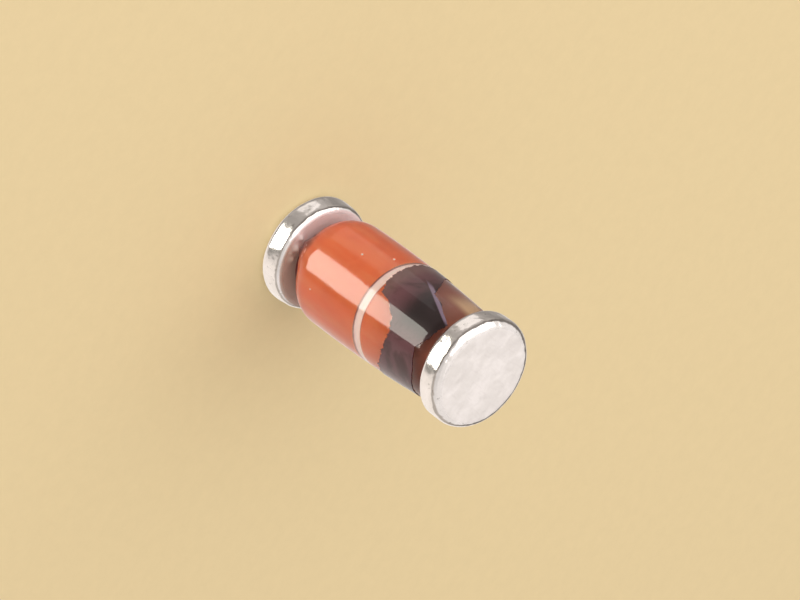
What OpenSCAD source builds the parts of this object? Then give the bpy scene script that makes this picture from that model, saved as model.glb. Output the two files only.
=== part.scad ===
// Glass zener diode in a leadless cylindrical package.
// It stands on the flat face of its anode cap. The origin is the centre of that
// face and +Z runs along the axis, so the banded cathode end is on top.

/* [Package] */
// Length from one flat end face to the other
body_l = 3.5; // [3.3:0.05:3.7]

/* [End caps] */
// Diameter of both tinned end caps
cap_d = 1.5; // [1.3:0.01:1.7]
// Thickness of each end cap
cap_t = 0.35; // [0.25:0.01:0.42]
// Radius of the rounded edge at a cap's flat outer face
cap_outer_edge = 0.12; // [0.05:0.01:0.14]
// Radius of the rounded edge at a cap's inner face, beside the glass
cap_inner_edge = 0.08; // [0.03:0.01:0.1]
// How far the caps stand proud of the glass all round
cap_lip = 0.034; // [0.01:0.002:0.08]

/* [Glass sleeve] */
// Thickness of the glass at the fullest part of its barrel, from its surface to the studs
glass_wall = 0.266; // [0.23:0.002:0.35]
// Distance along the axis from the anode cap to the fullest part of the barrel
barrel_full = 0.9; // [0.7:0.05:1.1]
// How far the radius falls from there to where the glass is drawn in
barrel_fall = 0.064; // [0.02:0.002:0.08]
// Length of bare stud that shows between the anode cap and the glass
neck_l = 0.08; // [0.04:0.01:0.1]
// Length of the melted shoulder at the anode end
shoulder_l = 0.38; // [0.3:0.01:0.5]
// Width of the glass at the foot of that shoulder, round the stud
foot_w = 0.02; // [0.016:0.002:0.06]
// Length over which the glass is drawn in towards the cathode cap
draw_l = 0.3; // [0.2:0.05:0.35]
// Radius of the curve that draws it in
draw_r = 0.6; // [0.55:0.05:1]
// Radius of the small melted edge where the drawn-in glass meets the cap
draw_edge = 0.04; // [0.02:0.01:0.05]
// How far the melted glass swells into the gap between the studs
bead_in = 0.04; // [0.01:0.01:0.06]

/* [Chip] */
// Clear space between the corners of the silicon die and the swelling of glass round it
die_clearance = 0.11; // [0.06:0.01:0.15]
// Thickness of the die
die_t = 0.1; // [0.08:0.01:0.14]
// Height of the raised junction area on the die's anode side
mesa_t = 0.03; // [0.01:0.01:0.05]
// Width of the ledge round that raised area
mesa_ledge = 0.03; // [0.01:0.01:0.05]
// Diameter of the silver bump where it stands on the die
bump_d = 0.26; // [0.18:0.01:0.3]
// Diameter of the bump's flattened top, pressed against the anode stud
bump_top_d = 0.2; // [0.12:0.01:0.25]
// Height of the bump
bump_t = 0.025; // [0.015:0.005:0.04]
// Width of the rim of braze that shows past the die's corners
braze_rim = 0.03; // [0.01:0.01:0.05]
// Thickness of the braze
braze_t = 0.015; // [0.01:0.005:0.03]

/* [Cathode band] */
// Thickness of the painted ring
band_t = 0.015; // [0.01:0.005:0.03]
// Distance on the axis from the cathode cap down to the band's lower edge
band_low_drop = 1; // [0.9:0.05:1.1]
// Tilt in degrees of the plane that the lower edge follows
band_low_tilt = 19; // [0:1:22]
// Distance on the axis from the cathode cap down to the band's upper edge
band_high_drop = 0.6; // [0.5:0.02:0.64]
// Tilt in degrees of the plane that the upper edge follows
band_high_tilt = 33; // [20:1:34]
// Turn in degrees about the axis to the side where the band runs highest
band_turn = -65; // [-90:1:-20]

/* [Hidden] */
$fn = 120;

stud_gap = bump_t + die_t + braze_t;
stud_l = (body_l - 2 * cap_t - stud_gap) / 2;
gap_low_z = cap_t + stud_l;
gap_high_z = gap_low_z + stud_gap;
glass_low_z = cap_t + neck_l;
glass_high_z = body_l - cap_t;
bump_z = gap_low_z;
die_z = bump_z + bump_t;
braze_z = die_z + die_t;

glass_r = cap_d / 2 - cap_lip;
stud_r = glass_r - glass_wall;
die_w = sqrt(2) * (stud_r - bead_in - die_clearance);
braze_r = die_w / sqrt(2) + braze_rim;

barrel_low_z = glass_low_z + shoulder_l;
barrel_full_z = cap_t + barrel_full;
barrel_high_z = glass_high_z - draw_l;
barrel_run = barrel_high_z - barrel_full_z;
barrel_arc_r = (pow(barrel_run, 2) + pow(barrel_fall, 2)) / (2 * barrel_fall);
barrel_centre = [glass_r - barrel_arc_r, barrel_full_z];
barrel_low_angle = asin((barrel_low_z - barrel_full_z) / barrel_arc_r);
barrel_high_angle = asin(barrel_run / barrel_arc_r);
barrel_low_r = barrel_centre[0] + barrel_arc_r * cos(barrel_low_angle);
shoulder_in = barrel_low_r - stud_r - foot_w;
end_r = glass_r - barrel_fall;
draw_centre = [end_r - draw_r * cos(barrel_high_angle), barrel_high_z - draw_r * sin(barrel_high_angle)];
draw_angle = asin((glass_high_z - draw_edge - draw_centre[1]) / draw_r);
draw_end_r = draw_centre[0] + draw_r * cos(draw_angle);
bead_arc_r = (pow(stud_gap / 2, 2) + pow(bead_in, 2)) / (2 * bead_in);
barrel_steps = 12;
shoulder_steps = 8;
draw_steps = 8;
edge_steps = 4;
bead_steps = 6;
cut_size = 4 * cap_d;

// Points of an oval arc in a profile, from angle a to angle b in degrees
function oval(centre, across, along, a, b, steps) =
    [for (i = [0:steps]) let (t = a + (b - a) * i / steps) centre + [across * cos(t), along * sin(t)]];

// The same for a round arc
function arc(centre, radius, a, b, steps) = oval(centre, radius, radius, a, b, steps);

// The barrel and the drawn-in end above it, thickened by grow
function side_up(grow) = concat(
    arc(barrel_centre, barrel_arc_r + grow, barrel_low_angle, barrel_high_angle, barrel_steps),
    arc(draw_centre, draw_r + grow, barrel_high_angle, draw_angle, draw_steps));

function backwards(points) = [for (i = [len(points) - 1:-1:0]) points[i]];

// A disc that lies on Z = 0 with its rolled outer edge down
module end_cap() {
    flat_z = cap_t - cap_inner_edge;
    color([0.78, 0.77, 0.75]) rotate_extrude() union() {
        square([cap_d / 2 - max(cap_outer_edge, cap_inner_edge), cap_t]);
        square([cap_d / 2 - cap_outer_edge, flat_z]);
        translate([0, cap_outer_edge]) square([cap_d / 2, flat_z - cap_outer_edge]);
        translate([0, cap_outer_edge]) square([cap_d / 2 - cap_inner_edge, cap_t - cap_outer_edge]);
        translate([cap_d / 2 - cap_outer_edge, cap_outer_edge]) circle(cap_outer_edge);
        translate([cap_d / 2 - cap_inner_edge, flat_z]) circle(cap_inner_edge);
    }
}

module stud() {
    color([0.93, 0.42, 0.25]) cylinder(r = stud_r, h = stud_l);
}

// The sealed space between the studs, waisted by the glass that melted into it
module chip_space() {
    translate([0, 0, gap_low_z + stud_gap / 2]) rotate_extrude() polygon(concat(
        [[0, -stud_gap / 2]],
        let (half = asin(stud_gap / 2 / bead_arc_r))
        arc([stud_r - bead_in + bead_arc_r, 0], bead_arc_r, 180 + half, 180 - half, bead_steps),
        [[0, stud_gap / 2]]));
}

// Everything below a plane through the axis at height z, highest on the side of band_turn
module below_plane(z, tilt) {
    translate([0, 0, z]) rotate([0, 0, band_turn]) rotate([0, -tilt, 0])
        translate([-cut_size / 2, -cut_size / 2, -cut_size]) cube(cut_size);
}

module anode_cap() {
    end_cap();
}

module cathode_cap() {
    translate([0, 0, body_l]) mirror([0, 0, 1]) end_cap();
}

module anode_stud() {
    translate([0, 0, cap_t]) stud();
}

module cathode_stud() {
    translate([0, 0, gap_high_z]) stud();
}

module anode_bump() {
    color([0.85, 0.85, 0.83]) translate([0, 0, bump_z])
        cylinder(d1 = bump_top_d, d2 = bump_d, h = bump_t);
}

module silicon_die() {
    mesa_w = die_w - 2 * mesa_ledge;
    color([0.3, 0.31, 0.34]) translate([0, 0, die_z]) union() {
        translate([-mesa_w / 2, -mesa_w / 2, 0]) cube([mesa_w, mesa_w, die_t]);
        translate([-die_w / 2, -die_w / 2, mesa_t]) cube([die_w, die_w, die_t - mesa_t]);
    }
}

module cathode_braze() {
    color([0.75, 0.74, 0.7]) translate([0, 0, braze_z]) cylinder(r = braze_r, h = braze_t);
}

// Glass rounded over a shoulder at the anode end and drawn in at the cathode cap
module glass_blank() {
    rotate_extrude() polygon(concat(
        [[0, glass_low_z]],
        oval([barrel_low_r - shoulder_in, barrel_low_z], shoulder_in, shoulder_l, -90, 0, shoulder_steps),
        side_up(0),
        arc([draw_end_r - draw_edge, glass_high_z - draw_edge], draw_edge, 0, 90, edge_steps),
        [[0, glass_high_z]]));
}

module glass_sleeve() {
    color([0.8, 0.86, 0.84, 0.4]) difference() {
        glass_blank();
        translate([0, 0, cap_t]) cylinder(r = stud_r, h = stud_l);
        translate([0, 0, gap_high_z]) cylinder(r = stud_r, h = stud_l);
        chip_space();
    }
}

module cathode_band() {
    color([0.2, 0.16, 0.18]) difference() {
        intersection() {
            rotate_extrude() polygon(concat(side_up(band_t), backwards(side_up(0))));
            below_plane(glass_high_z - band_high_drop, band_high_tilt);
        }
        below_plane(glass_high_z - band_low_drop, band_low_tilt);
    }
}

anode_cap();
anode_stud();
anode_bump();
silicon_die();
cathode_braze();
cathode_stud();
cathode_cap();
glass_sleeve();
cathode_band();
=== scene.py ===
import math

import bmesh
import bpy
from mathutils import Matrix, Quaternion, Vector, noise


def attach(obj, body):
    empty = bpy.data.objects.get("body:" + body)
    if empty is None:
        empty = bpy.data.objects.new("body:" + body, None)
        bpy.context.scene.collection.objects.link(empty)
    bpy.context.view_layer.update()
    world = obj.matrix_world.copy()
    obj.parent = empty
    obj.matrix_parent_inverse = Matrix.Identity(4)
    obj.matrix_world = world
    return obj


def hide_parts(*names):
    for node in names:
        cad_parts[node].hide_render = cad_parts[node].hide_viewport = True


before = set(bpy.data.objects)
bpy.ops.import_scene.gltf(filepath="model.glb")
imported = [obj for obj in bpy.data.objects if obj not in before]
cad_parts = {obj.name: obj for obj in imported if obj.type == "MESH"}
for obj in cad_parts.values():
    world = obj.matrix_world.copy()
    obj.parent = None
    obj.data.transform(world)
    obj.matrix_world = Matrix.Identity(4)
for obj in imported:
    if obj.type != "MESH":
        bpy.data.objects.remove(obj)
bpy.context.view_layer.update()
print("frame loaded:", ", ".join(sorted(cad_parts)))

scene = bpy.context.scene
mm = 0.001  # pieces are modelled in millimetres and brought to metres when finished


class Signal:
    # a node's output that Python sums work on, so a pattern reads as an expression
    def __init__(self, finish, socket):
        self.finish, self.socket = finish, socket

    def __add__(self, other):
        return self.finish.maths("ADD", self, other)

    def __sub__(self, other):
        return self.finish.maths("SUBTRACT", self, other)

    def __rsub__(self, other):
        return self.finish.maths("SUBTRACT", other, self)

    def __mul__(self, other):
        return self.finish.maths("MULTIPLY", self, other)

    def __truediv__(self, other):
        return self.finish.maths("DIVIDE", self, other)

    __radd__ = __add__
    __rmul__ = __mul__


class Finish:
    # the node recipe of one material or of the world
    def __init__(self, owner):
        owner.use_nodes = True
        self.owner = owner
        self.tree = owner.node_tree
        self.tree.nodes.clear()

    def node(self, kind, settings=(), values=(), output=0):
        made = self.tree.nodes.new("ShaderNode" + kind)
        for name, value in dict(settings).items():
            if name == "stops":
                elements = made.color_ramp.elements
                while len(elements) < len(value):
                    elements.new(0.5)
                for element, (position, colour) in zip(elements, value):
                    element.position = position
                    element.color = colour if len(colour) == 4 else (*colour, 1)
            else:
                setattr(made, name, value)
        for name, value in dict(values).items():
            if isinstance(value, Signal):
                self.tree.links.new(value.socket, made.inputs[name])
            else:
                made.inputs[name].default_value = value
        return Signal(self, made.outputs[output]) if made.outputs else made

    def maths(self, operation, *values):
        return self.node("Math", {"operation": operation}, enumerate(values))

    def step(self, value, low, high):
        # 0 below low, 1 above high, smooth between
        return self.node("MapRange", {"interpolation_type": "SMOOTHSTEP"},
                         {"Value": value, "From Min": low, "From Max": high})

    def ramp(self, value, stops, output=0):
        return self.node("ValToRGB", {"stops": stops}, {0: value}, output)

    def mix(self, factor, first, second, blend="MIX"):
        colours = [(*c, 1) if isinstance(c, tuple) and len(c) == 3 else c for c in (first, second)]
        return self.node("Mix", {"data_type": "RGBA", "blend_type": blend},
                         {0: factor, 6: colours[0], 7: colours[1]}, 2)

    def place(self, stretch=(1, 1, 1)):
        # object coordinates in millimetres, stretched for a drawn or brushed grain
        spot = self.node("TexCoord", output="Object")
        return self.node("VectorMath", {"operation": "MULTIPLY"},
                         {0: spot, 1: tuple(s / mm for s in stretch)})

    def axis(self, spot, name):
        return self.node("SeparateXYZ", (), {0: spot}, "XYZ".index(name))

    def cloud(self, spot, scale, detail=2, roughness=0.5, distortion=0):
        return self.node("TexNoise", (), {"Vector": spot, "Scale": scale, "Detail": detail,
                                          "Roughness": roughness, "Distortion": distortion})

    def bump(self, height, strength, distance, normal=None):
        values = {"Height": height, "Strength": strength, "Distance": distance * mm}
        if normal is not None:
            values["Normal"] = normal
        return self.node("Bump", (), values)

    def surface(self, **values):
        names = {name.replace("_", " "): value for name, value in values.items()}
        shader = self.node("BsdfPrincipled", (), names)
        self.node("OutputMaterial", (), {"Surface": shader})
        return self.owner


def newFinish(name):
    return Finish(bpy.data.materials.new(name))


def linear(red, green, blue):
    # a colour as it is read off a screen, 0 to 255, for a shader
    parts = [c / 255 for c in (red, green, blue)]
    return tuple(c / 12.92 if c <= 0.04045 else ((c + 0.055) / 1.055) ** 2.4 for c in parts)


# The camera stands as in the photo. The diode stands on its anode cap, so the camera is rolled.
camera = dict(elevation=39.4, roll=126.1, distance=80, lens=291.5, aimRight=0.079, aimUp=0.1303)


def placeCamera():
    data = bpy.data.cameras.new("camera")
    data.lens = camera["lens"]
    data.clip_start, data.clip_end = 1 * mm, 1
    thing = bpy.data.objects.new("camera", data)
    scene.collection.objects.link(thing)
    tilt = math.radians(camera["elevation"])
    paintedReflectionOutline = Vector((0, -math.cos(tilt), math.sin(tilt)))
    roll = Quaternion((0, 0, 1), math.radians(camera["roll"]))
    turn = (-paintedReflectionOutline).to_track_quat("-Z", "Y") @ roll
    aim = Vector((0, 0, 1.75)) + turn @ Vector((camera["aimRight"], camera["aimUp"], 0))
    thing.rotation_mode = "QUATERNION"
    thing.rotation_quaternion = turn
    thing.location = (aim + paintedReflectionOutline * camera["distance"]) * mm
    scene.camera = thing


placeCamera()
print("camera placed")


def arc(centre, radius, start, end, steps):
    angles = [math.radians(start + (end - start) * i / steps) for i in range(steps + 1)]
    return [(centre[0] + radius * math.cos(a), centre[1] + radius * math.sin(a)) for a in angles]


def evenly(points, spacing):
    # the same outline with no stretch longer than the spacing
    filled = [points[0]]
    for a, b in zip(points, points[1:]):
        count = max(1, math.ceil(math.dist(a, b) / spacing))
        filled += [(a[0] + (b[0] - a[0]) * i / count, a[1] + (b[1] - a[1]) * i / count)
                   for i in range(1, count + 1)]
    return filled


def turned(outline, steps, closed=False):
    # spins an outline of (radius, height) round the axis
    form = bmesh.new()
    spots = [form.verts.new((r, 0, z)) for r, z in outline]
    for a, b in zip(spots, spots[1:] + spots[:1] if closed else spots[1:]):
        form.edges.new((a, b))
    bmesh.ops.spin(form, geom=form.verts[:] + form.edges[:], cent=(0, 0, 0), axis=(0, 0, 1),
                   angle=math.tau, steps=steps, use_merge=True)
    bmesh.ops.remove_doubles(form, verts=form.verts[:], dist=1e-5)
    bmesh.ops.dissolve_degenerate(form, edges=form.edges[:], dist=1e-6)
    bmesh.ops.recalc_face_normals(form, faces=form.faces[:])
    return form


def finished(name, form, finish, node, sharp=40):
    bmesh.ops.scale(form, vec=(mm, mm, mm), verts=form.verts[:])
    mesh = bpy.data.meshes.new(name)
    form.to_mesh(mesh)
    form.free()
    mesh.shade_smooth()
    mesh.set_sharp_from_angle(angle=math.radians(sharp))
    mesh.materials.append(finish)
    piece = bpy.data.objects.new(name, mesh)
    scene.collection.objects.link(piece)
    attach(piece, "root")
    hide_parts(node)
    print("piece:", name, len(mesh.polygons), "faces")
    return piece


# End caps: a metal disc, dipped in tin that froze in soft lumps round its rim.
cap = dict(radius=0.75, thickness=0.35, otherFace=3.5, outerEdge=0.12, innerEdge=0.08, steps=224, spacing=0.02,
           lump=0.009, lumpScale=3.2, ripple=0.002, rippleScale=8, faceWave=0.0015)
# Drops of tin on the anode cap's inner face: radius, angle, height and width.
drops = [(0.57, -9, 0.06, 0.045), (0.6, 5, 0.045, 0.035), (0.56, -24, 0.045, 0.04), (0.61, -17, 0.03, 0.025)]


def tinFinish():
    tin = newFinish("dippedTin")
    spot = tin.place()
    reach = tin.node("VectorMath", {"operation": "LENGTH"}, {0: tin.place((1, 1, 0))}, 1)
    height = tin.axis(spot, "Z")
    fromMiddle = tin.maths("ABSOLUTE", height - 1.75)
    inside = (1 - tin.step(fromMiddle, 1.41, 1.45)) * (1 - tin.step(reach, 0.675, 0.7))
    wander = tin.cloud(spot, 7, 3, 0.6)
    face = 1 - tin.step(reach + 0.05 * wander, 0.66, 0.68)
    rim = 1 - face
    cloudy = tin.cloud(spot, 3.1, 3, 0.55, 0.4)
    grain = tin.cloud(spot, 30, 4, 0.6)
    scratch = tin.cloud(tin.place((1, 0.14, 1)), 26, 3, 0.6)
    colour = tin.mix(tin.step(cloudy, 0.35, 0.7), linear(238, 231, 226), linear(250, 243, 239))
    colour = tin.mix(face * tin.step(scratch, 0.5, 0.75) * 0.2, colour, linear(218, 208, 204))
    pits = tin.step(tin.cloud(spot, 15, 3, 0.65), 0.62, 0.7)
    colour = tin.mix(rim * pits * 0.4, colour, linear(120, 108, 96))
    # The cap's inner face round the glass gets painted shade and light: darker brown-grey on the +X side and lighter
    # pinkish on the other side where light falls, tinted by the copper's orange seen in it.
    annulusPaintedShade = tin.mix(tin.step(tin.axis(spot, "X") + 0.2 * wander, 0, 0.3), linear(208, 184, 182), linear(166, 136, 120))
    colour = tin.mix(inside * (0.8 + 0.2 * cloudy), colour, annulusPaintedShade)
    rough = 0.12 + 0.07 * cloudy + face * (0.3 + 0.1 * grain)
    lumps = tin.cloud(spot, 6.5, 1, 0.5, 0.3)
    dimples = tin.cloud(spot, 14, 1, 0.5)
    relief = tin.bump(lumps * 0.9 + dimples * 0.1, 0.4, 0.035)
    relief = tin.bump(face * (grain * 0.5 + scratch * 0.5), 0.2, 0.002, relief)
    return tin.surface(Base_Color=colour, Metallic=1 - inside * 0.85, Roughness=rough, Normal=relief)


def makeCap(name, node, upside, taper):
    highlightLineOffset, inner = cap["outerEdge"], cap["innerEdge"]
    radius, thick = cap["radius"], cap["thickness"]
    outline = [(0, 0)] + arc((radius - highlightLineOffset, highlightLineOffset), highlightLineOffset, -90, 0, 9)
    outline += arc((radius - inner, thick - inner), inner, 0, 90, 7) + [(0, thick)]
    form = turned(evenly(outline, cap["spacing"]), cap["steps"])
    shift = Vector((3.7, 1.3, 9.1 if upside else 2.4))
    for spot in form.verts:
        across = math.hypot(spot.co.x, spot.co.y)
        rim = min(1, max(0, (across - 0.5) / 0.2))
        out = Vector((spot.co.x, spot.co.y, 0)) / max(across, 1e-6)
        lump = noise.noise(spot.co * cap["lumpScale"] + shift) * cap["lump"]
        ripple = noise.noise(spot.co * cap["rippleScale"] + shift) * cap["ripple"]
        spot.co += out * rim * (lump + ripple - taper * spot.co.z / thick)
        wave = (noise.noise(spot.co * 2.6 - shift) - 0.6) * cap["faceWave"]
        if spot.co.z < highlightLineOffset and across > 0.05:
            spot.co.z -= wave * min(1, (highlightLineOffset - spot.co.z) / highlightLineOffset) * (1 - rim)
        if not upside and spot.co.z > thick - 0.03:
            for reach, angle, high, wide in drops:
                turn = math.radians(-90 - angle)
                far = math.dist(spot.co.xy, (reach * math.cos(turn), reach * math.sin(turn)))
                spot.co.z += high * math.exp(-(far / wide) ** 2)
    if upside:
        bmesh.ops.scale(form, vec=(1, 1, -1), verts=form.verts[:])
        bmesh.ops.translate(form, vec=(0, 0, cap["otherFace"]), verts=form.verts[:])
        bmesh.ops.recalc_face_normals(form, faces=form.faces[:])
    return finished(name, form, tin, node)


tin = tinFinish()
anodeCap = makeCap("anode_tin_cap", "anode_cap", False, 0.03)
cathodeCap = makeCap("cathode_tin_cap", "cathode_cap", True, 0)


# Studs: copper-clad, oxidised orange where the glass is fused to them.
studs = dict(radius=0.45, lowest=0.345, gapLow=1.68, gapHigh=1.82, highest=3.155, corner=0.01, steps=128)


def copperFinish():
    copper = newFinish("oxidisedCopper")
    spot = copper.place()
    height = copper.axis(spot, "Z")
    drawn = copper.cloud(copper.place((1, 1, 0.12)), 9, 4, 0.6)
    mottle = copper.cloud(spot, 4.5, 3, 0.6, 0.3)
    fine = copper.cloud(spot, 42, 3, 0.6)
    colour = copper.mix(copper.step(drawn, 0.3, 0.75), linear(255, 114, 58), linear(255, 134, 80))
    colour = copper.mix(copper.step(mottle, 0.45, 0.75) * 0.35, colour, linear(240, 96, 46))
    upper = copper.step(height + 0.15 * mottle, 2.5, 2.72)
    colour = copper.mix(upper * 0.95, colour, linear(186, 104, 82))
    side = 0.05 * mottle - copper.axis(spot, "X")
    colour = copper.mix(copper.step(side, 0.16, 0.34) * copper.step(height, 1.92, 2.1) * 0.9, colour, linear(158, 96, 88))
    # Pale tan near the outline, high on the cathode stud: a painted reflection of the pale floor seen through the
    # clear glass edge.
    paintedReflectionOutline = 1 - copper.step(copper.maths("ABSOLUTE", copper.axis(spot, "Y") + 0.04), 0.08, 0.2)
    colour = copper.mix(side * paintedReflectionOutline * copper.step(height, 2.4, 2.8) * 2, colour, linear(236, 198, 164))
    # Darker red-brown near the anode cap: partly oxide, partly painted shade where the stud meets the cap under the
    # glass shoulder.
    neckOxideAndShade = 1 - copper.step(height + 0.06 * mottle, 0.47, 0.6)
    colour = copper.mix(neckOxideAndShade, colour, linear(120, 56, 56))
    return copper.surface(Base_Color=colour, Metallic=0.0, Roughness=0.4 + 0.16 * mottle,
                          Normal=copper.bump(drawn * 0.5 + fine * 0.5, 0.35, 0.003))


def makeStud(name, node, low, high):
    corner, radius = studs["corner"], studs["radius"]
    outline = [(0, low)] + arc((radius - corner, low + corner), corner, -90, 0, 3)
    outline += arc((radius - corner, high - corner), corner, 0, 90, 3) + [(0, high)]
    form = turned(evenly(outline, 0.12), studs["steps"])
    return finished(name, form, copper, node)


copper = copperFinish()
anodeStud = makeStud("anode_copper_stud", "anode_stud", studs["lowest"], studs["gapLow"])
cathodeStud = makeStud("cathode_copper_stud", "cathode_stud", studs["gapHigh"], studs["highest"])


# Glass: melted on to both studs, rounded at the anode cap and drawn in at the cathode cap.
glass = dict(radius=0.716, low=0.43, high=3.15, full=1.25, fall=0.064, shoulder=0.38, foot=0.02,
             drawLength=0.3, drawRadius=0.6, drawEdge=0.04, beadIn=0.04, bite=0.002, overlap=0.005, steps=192)
barrelHigh = glass["high"] - glass["drawLength"]
barrelArc = ((barrelHigh - glass["full"]) ** 2 + glass["fall"] ** 2) / (2 * glass["fall"])
barrelAngle = math.asin((barrelHigh - glass["full"]) / barrelArc)
drawAcross = glass["radius"] - glass["fall"] - glass["drawRadius"] * math.cos(barrelAngle)
drawUp = barrelHigh - glass["drawRadius"] * math.sin(barrelAngle)


def glassRadius(height):
    # the radius of the glass surface at a height, on the barrel or the drawn-in end
    if height <= barrelHigh:
        reach, across, up = barrelArc, glass["radius"] - barrelArc, glass["full"]
    else:
        reach, across, up = glass["drawRadius"], drawAcross, drawUp
    return across + math.sqrt(reach ** 2 - (height - up) ** 2)


def glassFinish():
    # the swelling between the studs is milky, with darker lines where it touches their edges; it also glows faintly in
    # its own colour, painted light for the brightness that reflections inside the glass give it
    clear = newFinish("meltedGlass")
    spot = clear.place()
    reach = clear.node("VectorMath", {"operation": "LENGTH"}, {0: clear.place((1, 1, 0))}, 1)
    wave = clear.cloud(spot, 1.6, 2, 0.4)
    rough = 0.13 + 0.06 * clear.step(clear.cloud(spot, 7, 3, 0.6), 0.5, 0.8)
    glassy = clear.node("BsdfPrincipled", (), {
        "Base Color": (*linear(248, 250, 246), 1), "Roughness": rough, "IOR": 1.51,
        "Transmission Weight": 1.0, "Normal": clear.bump(wave, 0.35, 0.02)})
    broken = clear.cloud(clear.place((1, 1, 0.3)), 16, 3, 0.65)
    middle = 1 - clear.step(reach + 0.012 * (broken - 0.5), 0.424, 0.441)
    milkAndGlowColour = clear.mix(middle, linear(140, 76, 68), linear(255, 226, 222))
    # Painted light: the milky swelling glows faintly in its own colour.
    glowingMilky = clear.node("BsdfPrincipled", (), {"Base Color": milkAndGlowColour, "Roughness": 0.5,
                                             "Emission Color": milkAndGlowColour, "Emission Strength": 0.2})
    swelling = 1 - clear.step(reach, studs["radius"] - 0.0045, studs["radius"] - 0.0025)
    both = clear.node("MixShader", (), {0: swelling, 1: glassy, 2: glowingMilky})
    clear.node("OutputMaterial", (), {"Surface": both})
    return clear.owner


def makeGlass():
    low, high, overlap = glass["low"], glass["high"], glass["overlap"]
    barrelLow = low + glass["shoulder"]
    foot = studs["radius"] + glass["foot"]
    across = glassRadius(barrelLow) - foot
    shoulder = [(foot + across * math.cos(a), barrelLow + glass["shoulder"] * math.sin(a))
                for a in [math.radians(-90 + 90 * i / 28) for i in range(29)]]
    barrel = [(glassRadius(z), z) for z in [barrelLow + (barrelHigh - barrelLow) * i / 40 for i in range(1, 41)]]
    drawTop = high - glass["drawEdge"]
    drawn = [(glassRadius(z), z) for z in [barrelHigh + (drawTop - barrelHigh) * i / 16 for i in range(1, 17)]]
    rim = arc((drawn[-1][0] - glass["drawEdge"], drawTop), glass["drawEdge"], 30, 90, 6)[1:]
    bore = studs["radius"] - glass["bite"]
    gapMiddle = (studs["gapLow"] + studs["gapHigh"]) / 2
    halfGap = (studs["gapHigh"] - studs["gapLow"]) / 2
    beadReach = (halfGap ** 2 + glass["beadIn"] ** 2) / (2 * glass["beadIn"])
    beadAngle = math.degrees(math.asin(halfGap / beadReach))
    bead = arc((studs["radius"] - glass["beadIn"] + beadReach, gapMiddle), beadReach,
               180 - beadAngle, 180 + beadAngle, 18)
    bead = [point for point in bead if point[0] < bore]
    outline = [(bore, low)] + shoulder + barrel + drawn + rim
    outline += [(rim[-1][0] - 0.01, high + overlap), (bore, high + overlap)]
    outline += [(bore, bead[0][1] + 0.004)] + bead + [(bore, bead[-1][1] - 0.004)]
    form = turned(evenly(outline, 0.04), glass["steps"], closed=True)
    for spot in form.verts:
        across, height = math.hypot(spot.co.x, spot.co.y), spot.co.z
        share = max(0, 1 - (height - low) / melt["height"])
        if across < bore + 0.01 or not share:
            continue
        angle = (-90 - math.degrees(math.atan2(spot.co.y, spot.co.x)) + 180) % 360 - 180
        lift = melt["lift"] * max(0, math.cos(math.radians(angle - melt["liftAngle"]))) * share
        drip = melt["drip"] * math.exp(-((angle - melt["dripAngle"]) / melt["dripWidth"]) ** 2) * share ** 3
        drip *= 1 + 0.9 * noise.noise(spot.co * 9)
        spot.co.z = max(cap["thickness"] + 0.003, height + lift - drip)
        spot.co.xy *= (across + drip * 0.35) / across
    bmesh.ops.recalc_face_normals(form, faces=form.faces[:])
    return finished("melted_glass_sleeve", form, clear, "glass_sleeve")


# The shoulder melted unevenly: it lifts off the cap on one side and ran down to it at one place.
melt = dict(height=0.5, lift=0.08, liftAngle=-60, drip=0.085, dripAngle=-4, dripWidth=17)
clear = glassFinish()
glassSleeve = makeGlass()


# A few bubbles that froze just under the glass surface, given a faint glow of their own as painted glints: height,
# angle and radius.
bubbles = [(1.33, 28, 0.014), (1.67, 47, 0.016), (2.70, 4, 0.012), (0.95, -34, 0.010), (1.5, 130, 0.013)]


def glowingBubbleFinish():
    froth = newFinish("glowingBubble")
    grain = froth.cloud(froth.place(), 60, 2)
    # Painted light: a faint glow of their own, so they show as small glints.
    return froth.surface(Base_Color=froth.mix(grain, linear(255, 224, 206), linear(255, 242, 232)),
                         Roughness=0.25 + 0.2 * grain, Emission_Color=(*linear(255, 214, 190), 1),
                         Emission_Strength=0.3)


def makeBubbles():
    form = bmesh.new()
    for height, angle, size in bubbles:
        made = bmesh.ops.create_icosphere(form, subdivisions=3, radius=size)["verts"]
        turn, reach = math.radians(-90 - angle), glassRadius(height) - size * 1.3
        bmesh.ops.translate(form, vec=(reach * math.cos(turn), reach * math.sin(turn), height), verts=made)
    return finished("frozen_bubbles", form, glowingBubbleFinish(), "glass_sleeve")


frozenBubbles = makeBubbles()


# Chip: a silicon die brazed to the cathode stud, with a silver bump against the anode stud.
chip = dict(width=0.4243, low=1.705, mesa=0.03, ledge=0.03, high=1.805, bumpFoot=0.13, bumpTop=0.1,
            brazeRadius=0.33)


def siliconFinish():
    silicon = newFinish("polishedSilicon")
    grain = silicon.cloud(silicon.place(), 30, 3)
    colour = silicon.mix(grain, (0.06, 0.062, 0.07), (0.11, 0.112, 0.125))
    return silicon.surface(Base_Color=colour, Metallic=0.6, Roughness=0.22 + 0.15 * grain)


def silverFinish(name, dull, bright):
    silver = newFinish(name)
    grain = silver.cloud(silver.place(), 24, 3)
    return silver.surface(Base_Color=silver.mix(grain, dull, bright), Metallic=1.0,
                          Roughness=0.2 + 0.2 * grain, Normal=silver.bump(grain, 0.4, 0.002))


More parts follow.
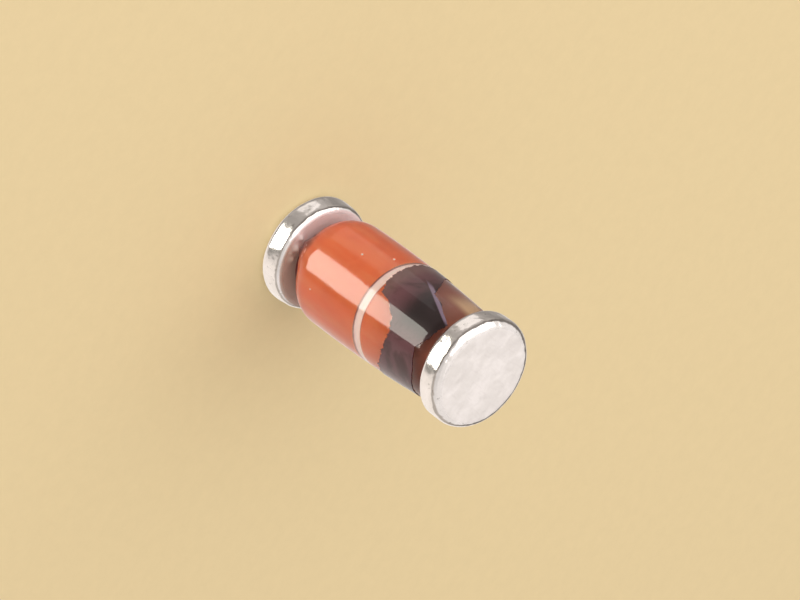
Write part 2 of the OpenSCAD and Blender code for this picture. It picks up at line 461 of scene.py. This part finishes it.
def makeChip():
    form = bmesh.new()
    bmesh.ops.create_cube(form, size=1)
    thick = chip["high"] - chip["low"] - chip["mesa"]
    bmesh.ops.scale(form, vec=(chip["width"], chip["width"], thick), verts=form.verts[:])
    bmesh.ops.translate(form, vec=(0, 0, chip["high"] - thick / 2), verts=form.verts[:])
    under = min(form.faces, key=lambda face: face.calc_center_median().z)
    bmesh.ops.inset_region(form, faces=[under], thickness=chip["ledge"])
    top = min(form.faces, key=lambda face: (round(face.calc_center_median().z, 5), -face.calc_area()))
    raised = bmesh.ops.extrude_face_region(form, geom=[top])
    bmesh.ops.delete(form, geom=[top], context="FACES")
    moved = [item for item in raised["geom"] if isinstance(item, bmesh.types.BMVert)]
    bmesh.ops.translate(form, vec=(0, 0, -chip["mesa"]), verts=moved)
    bmesh.ops.bevel(form, geom=form.edges[:], offset=0.003, offset_type="OFFSET", affect="EDGES",
                    segments=2, profile=0.5, material=-1)
    bmesh.ops.recalc_face_normals(form, faces=form.faces[:])
    finished("silicon_chip", form, siliconFinish(), "silicon_die", 30)

    height = chip["low"] - studs["gapLow"]
    side = arc((chip["bumpFoot"] - 0.03, studs["gapLow"]), 0.032, 0, 50, 6)
    outline = [(0, chip["low"])] + [(chip["bumpFoot"], chip["low"])]
    outline += [(r, studs["gapLow"] + height * (1 - i / 6) * 0.9) for i, (r, z) in enumerate(side)]
    outline += [(chip["bumpTop"], studs["gapLow"]), (0, studs["gapLow"])]
    finished("silver_bump", turned(outline, 48), silverFinish("platedSilver", (0.74, 0.74, 0.72), (0.9, 0.9, 0.88)),
             "anode_bump")

    radius, low = chip["brazeRadius"], chip["high"]
    outline = [(0, low)] + arc((radius - 0.0075, low + 0.0075), 0.0075, -90, 90, 8) + [(0, low + 0.015)]
    finished("braze_ring", turned(evenly(outline, 0.1), 72),
             silverFinish("silverBraze", (0.6, 0.58, 0.53), (0.8, 0.78, 0.74)), "cathode_braze")


makeChip()


# Cathode band: dark baked paint on the glass. The edges are given by their height in millimetres
# at angles round the barrel, counted from the side that faces the camera.
band = dict(
    low=[(-180, 1.97), (-135, 2.09), (-86, 2.23), (-44, 2.375), (-21, 2.42), (-6, 2.345), (4.8, 2.18),
         (8.2, 1.99), (24, 1.94), (39, 1.91), (90, 1.93), (135, 1.95)],
    high=[(-180, 2.2), (-135, 2.46), (-93, 2.84), (-44, 2.92), (-18, 2.87), (-1, 2.98), (23, 3.03),
          (37, 2.75), (43, 2.52), (90, 2.16), (135, 2.15)],
    sink=0.001, thick=0.009, columns=720, rows=20, ragLow=0.03, ragHigh=0.012,
    highlightStreakTop=2.96, highlightStreakSlope=0.0265)


def edgeHeight(points, angle):
    ring = points + [(points[0][0] + 360, points[0][1])]
    for (a, low), (b, high) in zip(ring, ring[1:]):
        if a <= angle <= b:
            share = (angle - a) / (b - a)
            share = share * share * (3 - 2 * share) * 0.5 + share * 0.5
            return low + (high - low) * share
    return ring[-1][1]


def ragged(angle, height, amount):
    # teeth and steps left where the paint wicked along the glass
    spot = Vector((math.cos(math.radians(angle)), math.sin(math.radians(angle)), height))
    teeth = noise.noise(spot * 11) + 0.8 * noise.noise(spot * 34) + 0.6 * noise.noise(spot * 80)
    return teeth * amount


def paintFinish():
    paint = newFinish("bakedPaint")
    spot = paint.place()
    height = paint.axis(spot, "Z")
    angle = -90 - 180 / math.pi * paint.maths("ARCTAN2", paint.axis(spot, "Y"), paint.axis(spot, "X"))
    cloudy = paint.cloud(spot, 2.6, 3, 0.6, 0.5)
    fine = paint.cloud(spot, 30, 3, 0.6)
    puckered = paint.cloud(spot, 11, 2, 0.5)
    colour = paint.mix(paint.step(cloudy, 0.38, 0.62), linear(56, 30, 32), linear(82, 50, 56))
    front = paint.step(0.12 * cloudy - paint.axis(spot, "X"), -0.14, 0.16)
    colour = paint.mix(front * (1 - paint.step(height, 2.0, 2.2)) * 0.6, colour, linear(104, 78, 76))
    colour = paint.mix(front * paint.step(height + 0.1 * cloudy, 2.25, 2.65) * 0.95, colour, linear(24, 12, 14))
    # A pale violet-grey streak along a slanting line near the upper edge: a painted highlight where the paint's raised
    # edge would catch the light.
    highlightLineOffset = paint.maths("ABSOLUTE", height - (band["highlightStreakTop"] - band["highlightStreakSlope"] * (angle - 26)))
    highlightStreak = (1 - paint.step(highlightLineOffset, 0.04, 0.09)) * paint.step(angle, 20, 26) * (1 - paint.step(angle, 46, 52))
    colour = paint.mix(highlightStreak * 0.85, colour, linear(112, 96, 116))
    return paint.surface(Base_Color=colour, Roughness=0.42 + 0.15 * fine, Specular_IOR_Level=0.1,
                         Coat_Weight=0.72, Coat_Roughness=0.05,
                         Normal=paint.bump(cloudy * 0.5 + puckered * 0.4 + fine * 0.1, 0.4, 0.006))


def makeBand():
    form = bmesh.new()
    spots = [form.verts.new((1, 0, i / band["rows"])) for i in range(band["rows"] + 1)]
    for a, b in zip(spots, spots[1:]):
        form.edges.new((a, b))
    bmesh.ops.spin(form, geom=form.verts[:] + form.edges[:], cent=(0, 0, 0), axis=(0, 0, 1),
                   angle=math.tau, steps=band["columns"], use_merge=True)
    bmesh.ops.remove_doubles(form, verts=form.verts[:], dist=1e-5)
    for spot in form.verts:
        turn = math.degrees(math.atan2(spot.co.y, spot.co.x))
        angle = (-90 - turn + 180) % 360 - 180
        low, high = edgeHeight(band["low"], angle), edgeHeight(band["high"], angle)
        low += ragged(angle, 0.3, band["ragLow"])
        high += ragged(angle, 4.1, band["ragHigh"])
        height = min(low + (high - low) * spot.co.z, glass["high"] - glass["drawEdge"])
        reach = glassRadius(height) - band["sink"]
        spot.co = Vector((math.cos(math.radians(turn)) * reach, math.sin(math.radians(turn)) * reach, height))
    bmesh.ops.recalc_face_normals(form, faces=form.faces[:])
    if sum(face.normal.dot(face.calc_center_median()) * face.calc_area() for face in form.faces) < 0:
        bmesh.ops.reverse_faces(form, faces=form.faces[:])
    bmesh.ops.solidify(form, geom=form.faces[:], thickness=-band["thick"] - band["sink"])
    bmesh.ops.recalc_face_normals(form, faces=form.faces[:])
    return finished("painted_cathode_band", form, paintFinish(), "cathode_band", 50)


paintedBand = makeBand()


# Stage: a plain pale floor, which mirrors leave out so that the lamps in front of and below the
# camera's line show in the tin and glass, as they do in the photo.
stage = dict(width=400, colour=linear(214, 193, 150))


def makeFloor():
    form = bmesh.new()
    bmesh.ops.create_grid(form, x_segments=1, y_segments=1, size=stage["width"] / 2)
    bmesh.ops.scale(form, vec=(mm, mm, mm), verts=form.verts[:])
    mesh = bpy.data.meshes.new("floor")
    form.to_mesh(mesh)
    form.free()
    floor = bpy.data.objects.new("floor", mesh)
    scene.collection.objects.link(floor)
    paper = newFinish("paleFloor")
    grain = paper.cloud(paper.place(), 5, 4, 0.7)
    colour = paper.mix(grain, tuple(c * 0.96 for c in stage["colour"]), tuple(c * 1.04 for c in stage["colour"]))
    mesh.materials.append(paper.surface(Base_Color=colour, Roughness=0.9, Specular_IOR_Level=0.1))
    floor.visible_glossy = False
    floor.visible_shadow = False


makeFloor()


# Lamps are placed by their compass angle and height as seen from the diode, in degrees, and
# measured by the angle that they fill. Their level is the brightness of their face.
lamps = dict(
    mainWindow=dict(compass=-77, height=-33, wide=35, tall=37, level=7.4, colour=(1, 1, 0.89)),
    sideWindow=dict(compass=-158, height=-39.4, wide=34, tall=16, level=0.5, colour=(1, 0.98, 0.96)),
    front=dict(compass=-150, height=46, wide=84, tall=62, level=1.1, colour=(1, 0.98, 0.96)),
    overhead=dict(compass=160, height=70, wide=60, tall=60, level=0.15, colour=(1, 1, 1)))
lampDistance = 60


def placeLamp(name, compass, height, wide, tall, level, colour):
    data = bpy.data.lights.new(name, "AREA")
    data.shape = "RECTANGLE"
    data.size = 2 * lampDistance * math.tan(math.radians(wide / 2)) * mm
    data.size_y = 2 * lampDistance * math.tan(math.radians(tall / 2)) * mm
    data.energy = level * math.pi * data.size * data.size_y
    data.color = colour
    lamp = bpy.data.objects.new(name, data)
    scene.collection.objects.link(lamp)
    a, b = math.radians(compass), math.radians(height)
    away = Vector((math.cos(a) * math.cos(b), math.sin(a) * math.cos(b), math.sin(b)))
    lamp.location = (Vector((0, 0, 1.75)) + away * lampDistance) * mm
    lamp.rotation_mode = "QUATERNION"
    lamp.rotation_quaternion = (-away).to_track_quat("-Z", "Y")


for lampName, lamp in lamps.items():
    placeLamp(lampName, **lamp)


# Surroundings: a pale studio overhead and, below the horizon, cards and gaps between them.
# The ring of cards is given by compass angle from -180 to 180 as shares of a turn.
room = dict(above=0.9,
            cards=[(-180, 0.5), (-150, 0.5), (-133, 0.5), (-122, 0.42), (-108, 0.36), (-100, 0.45),
                   (-61, 0.24), (-45, 0.2), (-35, 0.8), (-20, 1.0), (55, 0.98), (92, 0.95), (120, 0.4), (150, 0.3), (180, 0.5)],
            horizon=[(-180, 0.24), (-70, 0.24), (-25, 0.5), (45, 0.5), (75, 0.16), (180, 0.2)],
            sky=[(-180, 0.9), (-115, 0.9), (-88, 0.7), (-25, 0.75), (15, 0.9), (180, 0.9)])


def makeRoom():
    scene.world = bpy.data.worlds.new("room")
    air = Finish(scene.world)
    way = air.node("TexCoord", output="Generated")
    compass = air.maths("ARCTAN2", air.axis(way, "Y"), air.axis(way, "X")) / math.tau + 0.5
    cards, horizon, sky = (air.ramp(compass, [((angle + 180) / 360, tuple(level * c for c in tint))
                                              for angle, level in room[ring]])
                           for ring, tint in (("cards", (1, 0.94, 0.88)), ("horizon", (1, 0.92, 0.84)),
                                              ("sky", (1, 0.975, 0.96))))
    climb = air.axis(way, "Z")
    dusk = air.mix(air.step(climb, -0.3, -0.17), cards, horizon)
    low = air.mix(air.step(climb, 0.14, 0.3), dusk, sky)
    light = air.mix(air.step(climb, 0.6, 0.82), low, tuple(room["above"] * c for c in (1, 0.975, 0.96)))
    glow = air.node("Background", (), {"Color": light, "Strength": 1.0})
    air.node("OutputWorld", (), {"Surface": glow})


makeRoom()
scene.view_settings.view_transform = "Standard"
print("stage and lights placed")
